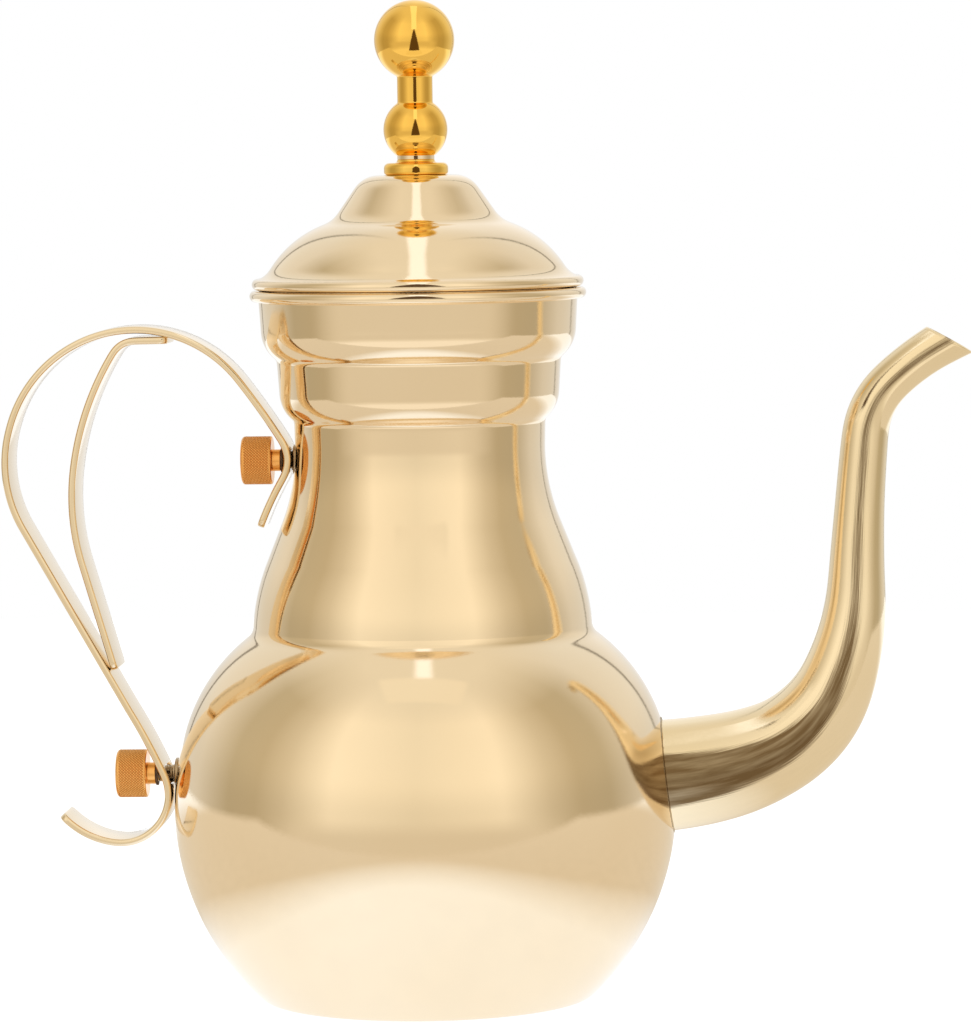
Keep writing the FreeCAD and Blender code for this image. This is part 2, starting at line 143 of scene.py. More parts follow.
STRAINER_HEIGHT = 62.8
STRAINER_STEP = 5.0
STRAINER_HOLE = 1.6
STRAINER_RINGS = 3
STRAINER_NEAR = 60
STRAINER_FAR = 76
BASE_RADIUS = 43.2
BASE_THICKNESS = 1.0
HUB = 0.5


def arc_centre(start, end, radius):
    """Centre of the short arc from start to end, turning left where radius is positive."""
    chord = end - start
    length = np.hypot(*chord)
    left = np.array([-chord[1], chord[0]]) / length
    reach = math.sqrt(radius * radius - length * length / 4)
    return (start + end) / 2 + left * math.copysign(reach, radius)


def corner_points(corners, step=0.2):
    """Dense points along an outline."""
    points = [np.array(corners[0][:2], float)]
    for (x, y, radius) in corners[1:]:
        start, end = points[-1], np.array([x, y], float)
        if radius:
            centre = arc_centre(start, end, radius)
            first = math.atan2(*(start - centre)[::-1])
            last = math.atan2(*(end - centre)[::-1])
            turn = (last - first) % (2 * math.pi)
            if radius < 0:
                turn -= 2 * math.pi
            count = max(2, int(abs(turn * radius) / step))
            for i in range(1, count + 1):
                angle = first + turn * i / count
                points.append(centre + abs(radius) * np.array([math.cos(angle), math.sin(angle)]))
        else:
            count = max(1, int(np.hypot(*(end - start)) / step))
            for i in range(1, count + 1):
                points.append(start + (end - start) * i / count)
    return np.array(points)


def evenly(points, step, closed=False):
    """The same line with evenly spaced points."""
    if closed:
        points = np.vstack([points, points[:1]])
    gaps = np.hypot(*np.diff(points, axis=0).T)
    far = np.concatenate([[0], np.cumsum(gaps)])
    count = max(2, int(round(far[-1] / step)) + 1)
    at = np.linspace(0, far[-1], count)
    if closed:
        at = at[:-1]
    return np.column_stack([np.interp(at, far, points[:, i]) for i in range(points.shape[1])])


def soften(points, reach, closed=False):
    """Round a line's kinks: a Gaussian over that many points on each side, with the ends held."""
    size = max(1, int(math.ceil(3 * reach)))
    weights = np.exp(-0.5 * (np.arange(-size, size + 1) / reach) ** 2)
    weights /= weights.sum()
    if closed:
        padded = np.vstack([points[-size:], points, points[:size]])
    else:
        head = 2 * points[0] - points[1:size + 1][::-1]
        tail = 2 * points[-1] - points[-size - 1:-1][::-1]
        padded = np.vstack([head, points, tail])
    return np.column_stack([np.convolve(padded[:, i], weights, "valid") for i in range(points.shape[1])])


def turned_back(corners):
    """The same outline from its other end."""
    radii = [0] + [-corner[2] for corner in corners[:0:-1]]
    return [(x, y, radius) for (x, y, _), radius in zip(corners[::-1], radii)]


def offset(points, distance):
    """A line moved to its left, or to its right where distance is negative."""
    along = np.gradient(points, axis=0)
    along /= np.hypot(*along.T)[:, None]
    return points + np.column_stack([-along[:, 1], along[:, 0]]) * distance


def ring_points(centre, radius, first, last, count):
    """Points round part of a circle, angles in degrees."""
    angles = np.radians(np.linspace(first, last, count))
    return np.column_stack([centre[0] + radius * np.cos(angles), centre[1] + radius * np.sin(angles)])


# ------------------------------------------------------------------ meshes


def new_piece(name, verts, faces, material, body, replaces=()):
    """A smooth-shaded mesh object that rides on a CAD body. Vertices are in millimetres."""
    mesh = bpy.data.meshes.new(name)
    mesh.from_pydata((np.asarray(verts) * MM).tolist(), [], faces)
    mesh.validate()
    piece = bpy.data.objects.new(name, mesh)
    bpy.context.scene.collection.objects.link(piece)
    bm = bmesh.new()
    bm.from_mesh(mesh)
    bmesh.ops.recalc_face_normals(bm, faces=bm.faces)
    bm.to_mesh(mesh)
    bm.free()
    mesh.shade_smooth()
    mesh.materials.append(material)
    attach(piece, body)
    if replaces:
        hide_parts(*replaces)
    return piece


def grid_faces(rows, columns, closed_rows=False):
    """Quads over a grid of rows by columns. Each row is a closed ring."""
    faces = []
    for i in range(rows if closed_rows else rows - 1):
        for j in range(columns):
            a = i * columns + j
            b = i * columns + (j + 1) % columns
            c = (i + 1) % rows * columns + (j + 1) % columns
            d = (i + 1) % rows * columns + j
            faces.append((a, b, c, d))
    return faces


def ring_of(radius, angles, height):
    """One ring of vertices. The radius is a number or one number for each angle."""
    return np.column_stack([radius * np.cos(angles), radius * np.sin(angles), np.full(len(angles), height)])


def lathe_grid(profile, segments):
    """Vertices of a profile of (radius, height) spun about Z."""
    angles = np.linspace(0, 2 * math.pi, segments, endpoint=False)
    return np.vstack([ring_of(radius, angles, height) for radius, height in profile])


def lathe(name, profile, material, body, replaces=(), segments=SEGMENTS, closed=True, place=None):
    """A spun piece. A closed profile is a loop; an open one starts and ends on the axis."""
    profile = np.asarray(profile, float)
    verts = lathe_grid(profile, segments)
    faces = grid_faces(len(profile), segments, closed_rows=closed)
    if not closed:
        for row in (0, len(profile) - 1):
            verts = np.vstack([verts, [[0, 0, profile[row][1]]]])
            hub = len(verts) - 1
            for j in range(segments):
                faces.append((row * segments + j, row * segments + (j + 1) % segments, hub))
    if place is not None:
        verts = place(verts)
    return new_piece(name, verts, faces, material, body, replaces)


def end_normals(profile, closed, crease=math.radians(40)):
    """For each segment of a profile, its outward normals at both ends, split where it has a crease."""
    ends = np.roll(profile, -1, axis=0) if closed else profile[1:]
    starts = profile if closed else profile[:-1]
    along = ends - starts
    along /= np.hypot(*along.T)[:, None]
    flat = np.column_stack([along[:, 1], -along[:, 0]])
    count = len(flat)
    head, tail = flat.copy(), flat.copy()
    smooth = np.zeros(count, bool)
    for i in range(count):
        before = i - 1
        if (closed or i > 0) and (flat[before] * flat[i]).sum() > math.cos(crease):
            shared = flat[before] + flat[i]
            head[i] = tail[before] = shared / np.hypot(*shared)
            smooth[i] = True
    for i in range(count):
        after = (i + 1) % count
        if not smooth[i] and smooth[after]:
            head[i] = 2 * flat[i] - tail[i]
        if smooth[i] and not smooth[after]:
            tail[i] = 2 * flat[i] - head[i]
    return starts, ends, head, tail


def spun_normals(piece, profile, closed=True):
    """Give a spun piece the exact normals of its profile, so that its reflections run clean."""
    mesh = piece.data
    starts, ends, head, tail = end_normals(np.asarray(profile, float), closed)
    count = len(mesh.polygons)
    centre = np.empty(count * 3)
    mesh.polygons.foreach_get("center", centre)
    centre = centre.reshape(-1, 3) / MM
    flat = np.column_stack([np.hypot(centre[:, 0], centre[:, 1]), centre[:, 2]])
    middle = (starts + ends) / 2
    segment = np.empty(count, int)
    for first in range(0, count, CHUNK):
        part = flat[first:first + CHUNK]
        segment[first:first + CHUNK] = ((part[:, None] - middle[None]) ** 2).sum(2).argmin(1)
    totals = np.empty(count, int)
    mesh.polygons.foreach_get("loop_total", totals)
    face_normal = np.empty(count * 3)
    mesh.polygons.foreach_get("normal", face_normal)
    face_normal = np.repeat(face_normal.reshape(-1, 3), totals, axis=0)
    segment = np.repeat(segment, totals)
    vertex = np.empty(len(mesh.loops), int)
    mesh.loops.foreach_get("vertex_index", vertex)
    co = np.empty(len(mesh.vertices) * 3)
    mesh.vertices.foreach_get("co", co)
    co = co.reshape(-1, 3)[vertex] / MM
    radius = np.maximum(np.hypot(co[:, 0], co[:, 1]), 1e-9)
    place = np.column_stack([radius, co[:, 2]])
    span = (ends - starts)[segment]
    share = ((place - starts[segment]) * span).sum(1) / (span ** 2).sum(1)
    share = np.clip(share, 0, 1)[:, None]
    exact = head[segment] * (1 - share) + tail[segment] * share
    wanted = np.column_stack([co[:, :2] / radius[:, None] * exact[:, :1], exact[:, 1]])
    agreement = (wanted * face_normal).sum(1)[:, None]
    wanted = np.where(agreement < 0, -wanted, wanted)
    wanted = np.where(np.abs(agreement) < 0.5, face_normal, wanted)
    mesh.normals_split_custom_set(wanted.tolist())


def cut(piece, rods, sides=24):
    """Cut straight rods out of a piece: each is (start, end, radius) in millimetres."""
    bm = bmesh.new()
    for start, end, radius in rods:
        start, end = Vector(start), Vector(end)
        turn = (end - start).to_track_quat("Z", "Y")
        rings = []
        for centre in (start, end):
            ring = []
            for j in range(sides):
                angle = 2 * math.pi * j / sides
                out = Vector((radius * math.cos(angle), radius * math.sin(angle), 0))
                ring.append(bm.verts.new((centre + turn @ out) * MM))
            rings.append(ring)
        for j in range(sides):
            k = (j + 1) % sides
            bm.faces.new((rings[0][j], rings[0][k], rings[1][k], rings[1][j]))
        bm.faces.new(rings[0][::-1])
        bm.faces.new(rings[1])
    mesh = bpy.data.meshes.new("cutter")
    bm.to_mesh(mesh)
    bm.free()
    tool = bpy.data.objects.new("cutter", mesh)
    bpy.context.scene.collection.objects.link(tool)
    modifier = piece.modifiers.new("cut", "BOOLEAN")
    modifier.operation = "DIFFERENCE"
    modifier.solver = "EXACT"
    modifier.object = tool
    evaluated = piece.evaluated_get(bpy.context.evaluated_depsgraph_get())
    made = bpy.data.meshes.new_from_object(evaluated)
    piece.modifiers.clear()
    piece.data = made
    bpy.data.objects.remove(tool)


# ------------------------------------------------------------------ materials


class Nodes:
    """A small helper for laying out a material's nodes."""

    def __init__(self, tree):
        self.tree = tree
        tree.nodes.clear()

    def add(self, kind, inputs=None, **settings):
        node = self.tree.nodes.new(kind)
        for name, value in settings.items():
            setattr(node, name, value)
        for name, value in (inputs or {}).items():
            if isinstance(value, bpy.types.NodeSocket):
                self.tree.links.new(value, node.inputs[name])
            else:
                node.inputs[name].default_value = value
        return node

    def math(self, operation, *values):
        inputs = {i: value for i, value in enumerate(values)}
        return self.add("ShaderNodeMath", inputs, operation=operation).outputs[0]

    def noise(self, where, scale, detail=2.0):
        inputs = {"Vector": where, "Scale": scale, "Detail": detail}
        return self.add("ShaderNodeTexNoise", inputs).outputs["Fac"]

    def bump(self, height, strength, distance, normal=None):
        inputs = {"Height": height, "Strength": strength, "Distance": distance}
        if normal:
            inputs["Normal"] = normal
        return self.add("ShaderNodeBump", inputs).outputs[0]

    def surface(self, shader):
        self.add("ShaderNodeOutputMaterial", {"Surface": shader.outputs[0]})

    def ramp(self, factor, stops, interpolation="EASE"):
        node = self.add("ShaderNodeValToRGB", {"Fac": factor})
        node.color_ramp.interpolation = interpolation
        elements = node.color_ramp.elements
        while len(elements) < len(stops):
            elements.new(0.5)
        for element, (place, colour) in zip(elements, stops):
            element.position = place
            shade = colour if isinstance(colour, tuple) else (colour, colour, colour)
            element.color = (*shade, 1)
        return node.outputs["Color"]

    def span(self, value, low, high, new_low=0.0, new_high=1.0):
        inputs = {"Value": value, "From Min": low, "From Max": high, "To Min": new_low, "To Max": new_high}
        return self.add("ShaderNodeMapRange", inputs).outputs[0]

    def blend(self, factor, a, b, mode="MIX"):
        """Mix two colours, each a socket or a constant."""
        node = self.add("ShaderNodeMix", data_type="RGBA", blend_type=mode)
        for name, value in (("Factor", factor), ("A", a), ("B", b)):
            socket = next(item for item in node.inputs if item.name == name and item.enabled)
            if isinstance(value, bpy.types.NodeSocket):
                self.tree.links.new(value, socket)
            elif name == "Factor":
                socket.default_value = value
            else:
                socket.default_value = (*value, 1)
        return next(item for item in node.outputs if item.enabled)


def new_material(name):
    material = bpy.data.materials.new(name)
    material.use_nodes = True
    return material, Nodes(material.node_tree)


def stretched(nodes, scale=(1, 1, 1)):
    """Object coordinates, scaled on each axis."""
    where = nodes.add("ShaderNodeTexCoord").outputs["Object"]
    return nodes.add("ShaderNodeMapping", {"Vector": where, "Scale": scale}).outputs[0]


def mark(piece, name, values):
    """Store one vector per vertex, for the piece's material to read."""
    layer = piece.data.attributes.new(name, "FLOAT_VECTOR", "POINT")
    layer.data.foreach_set("vector", np.asarray(values, float).ravel())


# The spout's painted reflection band: the stretch of its ragged edge, where it starts round the tube along
# the tube's length, and the width of its fade.
REFLECTION_BAND_STRETCH = (30.0, 30.0, 4.0)
REFLECTION_BAND_LIMITS = [(0.0, 0.86), (0.12, 0.90), (0.30, 0.955), (0.50, 0.975)]
REFLECTION_BAND_FADE = 0.03


def spout_painted_reflection(nodes):
    """How strongly the tube takes a painted dark reflection: a ragged band with scratched edges along each
    flank, wide at its root.
    """
    where = nodes.add("ShaderNodeAttribute", attribute_name="tube").outputs["Vector"]
    _, side, along = nodes.add("ShaderNodeSeparateXYZ", {"Vector": where}).outputs
    lengthwise = nodes.add("ShaderNodeMapping", {"Vector": where, "Scale": REFLECTION_BAND_STRETCH}).outputs[0]
    scratch = nodes.noise(lengthwise, 3.0, 5.0)
    blotch = nodes.noise(where, 9.0, 4.0)
    flank = nodes.math("ABSOLUTE", side)
    edge = nodes.math("ADD", flank, nodes.span(scratch, 0.3, 0.7, -0.02, 0.02))
    limit = nodes.ramp(along, REFLECTION_BAND_LIMITS, "LINEAR")
    reflection_band = nodes.math("DIVIDE", nodes.math("SUBTRACT", edge, limit), REFLECTION_BAND_FADE)
    reflection_band = nodes.math("MINIMUM", nodes.math("MAXIMUM", reflection_band, 0.0), 1.0)
    return nodes.math("MULTIPLY", reflection_band, nodes.span(blotch, 0.3, 0.6, 0.75, 1.0))


def knurl_grooves(nodes):
    """How deep a point lies in the knurl: the mask for the copper's painted shade in its grooves."""
    where = nodes.add("ShaderNodeAttribute", attribute_name="knurl").outputs["Vector"]
    return nodes.add("ShaderNodeSeparateXYZ", {"Vector": where}).outputs[0]


def polished(name, colour, tint, gloss=0.05, dull=0.1, lines=(1, 1, 1), line_depth=0.02, wave=0.01,
             painted_dark=None, painted_dark_colour=None):
    """Coated, mirror-polished metal: slow tint changes, hairlines, smears and faint waviness.

    lines is the stretch of the hairlines: large on an axis makes them run across that axis.
    The last two arguments are a mask function, laying out nodes that say where the metal is darkened, and the
    colour it takes there: a painted reflection on the spout, painted shade in the knurl's grooves."""
    material, nodes = new_material(name)
    cloud = nodes.noise(stretched(nodes), 14.0, 3.0)
    base = nodes.blend(nodes.span(cloud, 0.35, 0.65), colour, tint)
    # Painted darkness: a painted reflection on the spout, painted shade in the knurl's grooves.
    if painted_dark:
        base = nodes.blend(painted_dark(nodes), base, painted_dark_colour)
    hair = nodes.noise(stretched(nodes, lines), 900.0)
    smear = nodes.noise(stretched(nodes), 45.0, 6.0)
    rough = nodes.span(nodes.math("MULTIPLY", hair, smear), 0.12, 0.42, gloss, dull)
    swell = nodes.noise(stretched(nodes), 30.0, 1.0)
    normal = nodes.bump(swell, wave, 0.002, nodes.bump(hair, line_depth, 0.0001))
    inputs = {"Base Color": base, "Metallic": 1.0, "Roughness": rough, "Normal": normal}
    nodes.surface(nodes.add("ShaderNodeBsdfPrincipled", inputs))
    return material


gilded = polished("gilded_steel", (0.96, 0.80, 0.575), (0.93, 0.76, 0.53), gloss=0.035, dull=0.075,
                  lines=(1, 1, 30), line_depth=0.03, wave=0.006)
# The spout's dark brown band along its flanks is a painted reflection.
spout_steel = polished("spout_steel", (0.96, 0.81, 0.57), (0.92, 0.76, 0.50), gloss=0.04, dull=0.10,
                       lines=(25, 4, 1), line_depth=0.06, wave=0.012,
                       painted_dark=spout_painted_reflection, painted_dark_colour=(0.19, 0.12, 0.055))
# The strap's steel is a little darker than the body's: a painted reflection, standing in for the dark
# reflection along the strap's edges.
strap_steel = polished("strap_steel", (0.94, 0.79, 0.57), (0.88, 0.72, 0.49), gloss=0.06, dull=0.13,
                       lines=(1, 1, 8), line_depth=0.05, wave=0.01)
gold = polished("gold_plate", (1.0, 0.655, 0.15), (1.0, 0.60, 0.12), gloss=0.02, dull=0.05,
                lines=(1, 1, 30), line_depth=0.02, wave=0.003)
# The copper's darker colour in the knurl's grooves is painted shade.
copper = polished("copper_anodised", (1.0, 0.56, 0.19), (0.96, 0.47, 0.14), gloss=0.12, dull=0.24,
                  lines=(30, 1, 1), line_depth=0.05, wave=0.01,
                  painted_dark=knurl_grooves, painted_dark_colour=(0.50, 0.19, 0.05))
plain_steel = polished("plain_steel", (0.58, 0.47, 0.33), (0.40, 0.30, 0.19), gloss=0.16, dull=0.32,
                       lines=(30, 1, 1), line_depth=0.1, wave=0.01)
weld_metal = polished("weld_metal", (0.70, 0.58, 0.40), (0.34, 0.25, 0.15), gloss=0.14, dull=0.45,
                      lines=(3, 3, 3), line_depth=0.5, wave=0.2)


def dark_grained(name):
    """A dark, finely grained washer."""
    material, nodes = new_material(name)
    grain = nodes.noise(stretched(nodes), 700.0, 4.0)
    colour = nodes.ramp(grain, [(0.3, (0.07, 0.04, 0.018)), (0.7, (0.18, 0.10, 0.045))])
    inputs = {"Base Color": colour, "Roughness": 0.62, "Normal": nodes.bump(grain, 0.3, 0.0002)}
    nodes.surface(nodes.add("ShaderNodeBsdfPrincipled", inputs))
    return material


dark_washer = dark_grained("dark_washer")

# ------------------------------------------------------------------ body

POT = "pot"
LID = "lid"


def body_outline():
    """Outer faces of belly and neck, from the base up. They share the row where they are welded."""
    belly = soften(evenly(corner_points(turned_back(BELLY)), BELLY_STEP), 0.8)
    neck = soften(evenly(corner_points(NECK), NECK_STEP), 1.6)
    return belly, neck


def sheet_loop(outer, thickness):
    """A closed section: an outer face, and an inner face at one thickness on the left of its travel."""
    inner = offset(outer, thickness)
    return np.vstack([outer, inner[::-1]])


def make_belly(outer):
    section = sheet_loop(outer, WALL)
    belly = lathe("belly", section, gilded, POT, ["belly_shell"])
    rods = []
    for ring in range(STRAINER_RINGS):
        count = max(1, 6 * ring)
        for place in range(count):
            angle = 2 * math.pi * place / count
            y = -ring * STRAINER_STEP * math.sin(angle)
            z = STRAINER_HEIGHT + ring * STRAINER_STEP * math.cos(angle)
            rods.append(((STRAINER_NEAR, y, z), (STRAINER_FAR, y, z), STRAINER_HOLE))
    cut(belly, rods)
    spun_normals(belly, section)


def make_neck(outer):
    """The neck's sheet, with a rolled bead round its mouth."""
    _, bead_height, bead_radius = MOUTH_BEAD
    bead = ring_points(MOUTH_BEAD, bead_radius, -100, 200, 40)
    inner = offset(outer, WALL)
    inner = inner[inner[:, 1] < bead_height - 3 * SHEET_BEAD_GAP]
    outer = outer[outer[:, 1] < bead_height - bead_radius + SHEET_BEAD_GAP]
    loop = np.vstack([outer, bead, inner[::-1]])
    neck = lathe("neck", loop, gilded, POT, ["neck_shell"])
    spun_normals(neck, loop)


def make_base():
    corners = np.array([(HUB, 0.0), (BASE_RADIUS, 0.0), (BASE_RADIUS, BASE_THICKNESS), (HUB, BASE_THICKNESS)])
    profile = soften(evenly(corners, 0.25), 0.8)
    profile[:, 1] = np.clip(profile[:, 1], 0.0, BASE_THICKNESS)
    return lathe("base", profile, gilded, POT, ["base_plate"], closed=False)


# ------------------------------------------------------------------ spout


SPOUT_ROWS = 230
SPOUT_SIDES = 128
SPOUT_STEP = 0.8
SPOUT_SINK = 0.3
SPOUT_START = 55
SPOUT_LIP = [(0.15, 0.10), (0.5, 0.16), (0.85, 0.10)]
FINE_STEP = 0.05


def spine_frames():
    """Points, directions and radii along the spout's spine."""
    points = soften(evenly(corner_points(SPOUT_SPINE), SPOUT_STEP), 3.0)
    far = np.concatenate([[0], np.cumsum(np.hypot(*np.diff(points, axis=0).T))])
    marks = [0.0]
    for before, after in zip(SPOUT_SPINE, SPOUT_SPINE[1:]):
        length = len(corner_points([(*before[:2], 0), after], FINE_STEP)) * FINE_STEP
        marks += [marks[-1] + length / 2, marks[-1] + length]
    marks = np.array(marks) * far[-1] / marks[-1]
    radii = np.interp(far, marks, SPOUT_RADII)
    radii = soften(radii[:, None], 6.0)[:, 0]
    along = np.gradient(points, axis=0)
    along /= np.hypot(*along.T)[:, None]
    return points, along, radii


def belly_radius(outline, height):
    """Radius of the belly's outer face at a height."""
    return np.interp(height, outline[:, 1], outline[:, 0])


def tube_line(points, along, radii, angle, outline):
    """One long line of the tube's skin, from just inside the belly's face to the mouth's plane."""
    normal = np.column_stack([-along[:, 1], along[:, 0]])
    flat = points + normal * (radii * math.cos(angle))[:, None]
    y = radii * math.sin(angle)
    line = np.column_stack([flat[:, 0], y, flat[:, 1]])
    reach = np.hypot(line[:, 0], line[:, 1]) - belly_radius(outline, line[:, 2]) + SPOUT_SINK
    start = int(np.argmax((reach > 0) & (line[:, 0] > SPOUT_START)))
    share = -reach[start - 1] / (reach[start] - reach[start - 1])
    first = line[start - 1] + (line[start] - line[start - 1]) * share
    tilt = math.radians(MOUTH_TILT)
    above = (line[:, 0] - MOUTH_POINT[0]) * math.sin(tilt) + (line[:, 2] - MOUTH_POINT[1]) * math.cos(tilt)
    above[:len(above) // 2] = -1
    stop = int(np.argmax(above > 0))
    share = -above[stop - 1] / (above[stop] - above[stop - 1])
    last = line[stop - 1] + (line[stop] - line[stop - 1]) * share
    return np.vstack([first, line[start:stop], last])


def even_line(line, count):
    """A three-dimensional line with a set number of evenly spaced points."""
    gaps = np.sqrt((np.diff(line, axis=0) ** 2).sum(1))
    far = np.concatenate([[0], np.cumsum(gaps)])
    at = np.linspace(0, far[-1], count)
    return np.column_stack([np.interp(at, far, line[:, i]) for i in range(3)])


def make_spout(outline):
    """The tube with its thickness and lip. Returns the line where it meets the belly."""
    points, along, radii = spine_frames()
    inner_rows = SPOUT_ROWS // 2
    angles = np.linspace(0, 2 * math.pi, SPOUT_SIDES, endpoint=False)
    outer, inner = [], []
    for angle in angles:
        outer.append(even_line(tube_line(points, along, radii, angle, outline), SPOUT_ROWS))
        inner.append(even_line(tube_line(points, along, radii - WALL, angle, outline), inner_rows))
    outer, inner = np.array(outer), np.array(inner)
    tilt = math.radians(MOUTH_TILT)
    upward = np.array([math.sin(tilt), 0, math.cos(tilt)])
    lip = [outer[:, -1] * (1 - share) + inner[:, -1] * share + upward * lift for share, lift in SPOUT_LIP]
    rows = [outer[:, i] for i in range(SPOUT_ROWS)] + lip
    rows += [inner[:, i] for i in reversed(range(inner_rows))]
    verts = np.vstack(rows)
    faces = grid_faces(len(rows), SPOUT_SIDES, closed_rows=True)
    spout = new_piece("spout", verts, faces, spout_steel, POT, ["spout_tube"])
    # Each vertex keeps its place round and along the tube, which places the spout's painted reflection band.
    shares = [i / (SPOUT_ROWS - 1) for i in range(SPOUT_ROWS)] + [1.0] * len(lip)
    shares += [i / (inner_rows - 1) for i in reversed(range(inner_rows))]
    around = np.column_stack([np.cos(angles), np.sin(angles)])
    marks = [np.column_stack([around, np.full(SPOUT_SIDES, share)]) for share in shares]
    mark(spout, "tube", np.vstack(marks))
    return outer[:, 0]


WELD_SIDES = 10
WELD_RADIUS = 0.75
WELD_RAGGED = 0.3
WELD_FLATNESS = 0.55
WELD_SEED = 3.0


def make_spout_weld(line):
    """A thin ragged bead of weld along the closed line, in millimetres, where the spout meets the belly."""
    along = np.roll(line, -1, axis=0) - np.roll(line, 1, axis=0)
    along /= np.sqrt((along ** 2).sum(1))[:, None]
    verts = []
    for place, way in zip(line, along):
        out = Vector((place[0], place[1], 0)).normalized()
        side = Vector(way).cross(out).normalized()
        out = side.cross(Vector(way)).normalized()
        seed = Vector((0, 0, WELD_SEED))
        shape = noise.noise(Vector(place) * 0.9 + seed)
        lump = noise.noise(Vector(place) * 3 + seed)
        size = WELD_RADIUS * (1 + WELD_RAGGED * shape + 0.5 * WELD_RAGGED * lump)
        for j in range(WELD_SIDES):
            angle = 2 * math.pi * j / WELD_SIDES
            spot = out * (size * WELD_FLATNESS * math.cos(angle)) + side * (size * math.sin(angle))
            verts.append(tuple(Vector(place) + spot))
    faces = grid_faces(len(line), WELD_SIDES, closed_rows=True)
    return new_piece("spout_weld", verts, faces, weld_metal, POT)


# ------------------------------------------------------------------ handle


def strip_frames(corners, step=0.5):
    """Middle line of a strap and its left-hand normals, in (across, up)."""
    face = soften(evenly(corner_points(corners), step), 2.0)
    along = np.gradient(face, axis=0)
    along /= np.hypot(*along.T)[:, None]
    left = np.column_stack([-along[:, 1], along[:, 0]])
    return face + left * STRAP_THICKNESS / 2, along, left


def strap_section(half_width, half_thickness):
    """One cross-section of a strap with rounded edges, as (across the width, through the sheet)."""
    points = []
    edge_a = min(STRAP_EDGE, half_thickness - STRAP_FLAT)
    edge_b = min(STRAP_EDGE, half_width - STRAP_FLAT)
    for sx, sy, first in ((1, 1, 0), (-1, 1, 90), (-1, -1, 180), (1, -1, 270)):
        cx, cy = sx * (half_width - edge_b), sy * (half_thickness - edge_a)
        for turn in range(0, 91, 15):
            angle = math.radians(first + turn)
            points.append((cx + edge_b * math.cos(angle), cy + edge_a * math.sin(angle)))
    return points


def rounded_off(depth, radius):
    """How far a rounded corner stands back at a depth from its end."""
    if depth >= radius:
        return 0.0
    return radius - math.sqrt(radius ** 2 - (radius - depth) ** 2)


def make_strap(name, corners, node, holes=()):
    """A bent strap. holes are (near, far, height) of straight holes through it along X."""
    middle, along, left = strip_frames(corners)
    far = np.concatenate([[0], np.cumsum(np.hypot(*np.diff(middle, axis=0).T))])
    total = far[-1]
    ends = np.array([*STRAP_END_ROWS, STRAP_CORNER])
    inner_far = far[(far > STRAP_CORNER) & (far < total - STRAP_CORNER)]
    stations = np.concatenate([ends, inner_far, total - ends[::-1]])
    verts = []
    for station in stations:
        centre = [np.interp(station, far, middle[:, i]) for i in range(2)]
        normal = [np.interp(station, far, left[:, i]) for i in range(2)]
        depth = min(station, total - station)
        half_width = STRAP_WIDTH / 2 - rounded_off(depth, STRAP_CORNER)
        half_thickness = STRAP_THICKNESS / 2 - rounded_off(depth, STRAP_EDGE / 2)
        for b, a in strap_section(half_width, half_thickness):
            verts.append((-(centre[0] + normal[0] * a), b, centre[1] + normal[1] * a))
    sides = len(verts) // len(stations)
    faces = grid_faces(len(stations), sides)
    faces.append(tuple(range(sides)))
    faces.append(tuple(range(len(verts) - sides, len(verts))))
    strap = new_piece(name, verts, faces, strap_steel, POT, [node])
    if holes:
        rods = [((-near, 0, height), (-far_out, 0, height), STRAP_HOLE) for near, far_out, height in holes]
        cut(strap, rods, STRAP_SIDES)


# ------------------------------------------------------------------ fixings

# Each fixing is (distance of its wall from the axis, height, distance of its seat).
FIXINGS = {"upper": (35.1, 151.8, 38.55), "lower": (69.9, 63.7, 75.37)}
PIN = 0.2

STUD_SIDES = 64
STUD_RADIUS = 2.45
STUD_LENGTH = 12.8
THREAD_PITCH = 0.8
THREAD_DEPTH = 0.35
THREAD_STEP = 0.08
THREAD_START = 0.85
THREAD_RUN_IN = 0.8
FOOT_RADIUS = 4.4
STUD_FOOT = [
    (PIN, -0.5),
    (FOOT_RADIUS - 0.1, -0.5),
    (FOOT_RADIUS, 0.0),
    (FOOT_RADIUS - 0.05, 0.35),
    (FOOT_RADIUS - 0.35, 0.55),
    (STUD_RADIUS + 0.5, 0.58),
    (STUD_RADIUS - 0.05, 0.75),
]
STUD_TIP = [(STUD_RADIUS - 0.5, STUD_LENGTH - 0.2), (STUD_RADIUS - 0.9, STUD_LENGTH), (PIN, STUD_LENGTH)]

WASHER_BORE = 2.55
WASHER_RADIUS = 3.4
WASHER_THICKNESS = 0.6

NUT_BORE = 2.5
NUT_BORE_DEPTH = 9.6
NUT_RADIUS = 6.75
NUT_NECK_RADIUS = 3.05
NUT_NECK = 2.4
NUT_TOP = NUT_NECK + 8.6
NUT_ROUNDING = 1.0
NUT_PROFILE = [
    (NUT_BORE, NUT_BORE_DEPTH, 0),
    (NUT_BORE, 0.25, 0),
    (NUT_BORE + 0.2, 0.0, 0),
    (NUT_NECK_RADIUS - 0.2, 0.0, 0),
    (NUT_NECK_RADIUS, 0.2, 0.2),
    (NUT_NECK_RADIUS, NUT_NECK - 0.15, 0),
    (NUT_NECK_RADIUS + 0.15, NUT_NECK, -0.15),
    (NUT_RADIUS - 0.4, NUT_NECK, 0),
    (NUT_RADIUS, NUT_NECK + 0.4, 0.4),
]
NUT_FACE_RADII = [4.6, 3.4, 2.2, 1.0, 0.3]
KNURL_ROUND = 52
KNURL_PITCH = 0.82
KNURL_DEPTH = 0.32
KNURL_SHARPNESS = 2.2
KNURL_LOW = NUT_NECK + 0.3
KNURL_HIGH = NUT_TOP - 0.45


def outward(distance, height):
    """Takes a piece made about +Z to a stud's axis, its +Z along -X."""
    def move(verts):
        verts = np.asarray(verts, float)
        return np.column_stack([-verts[:, 2] - distance, verts[:, 1], verts[:, 0] + height])
    return move


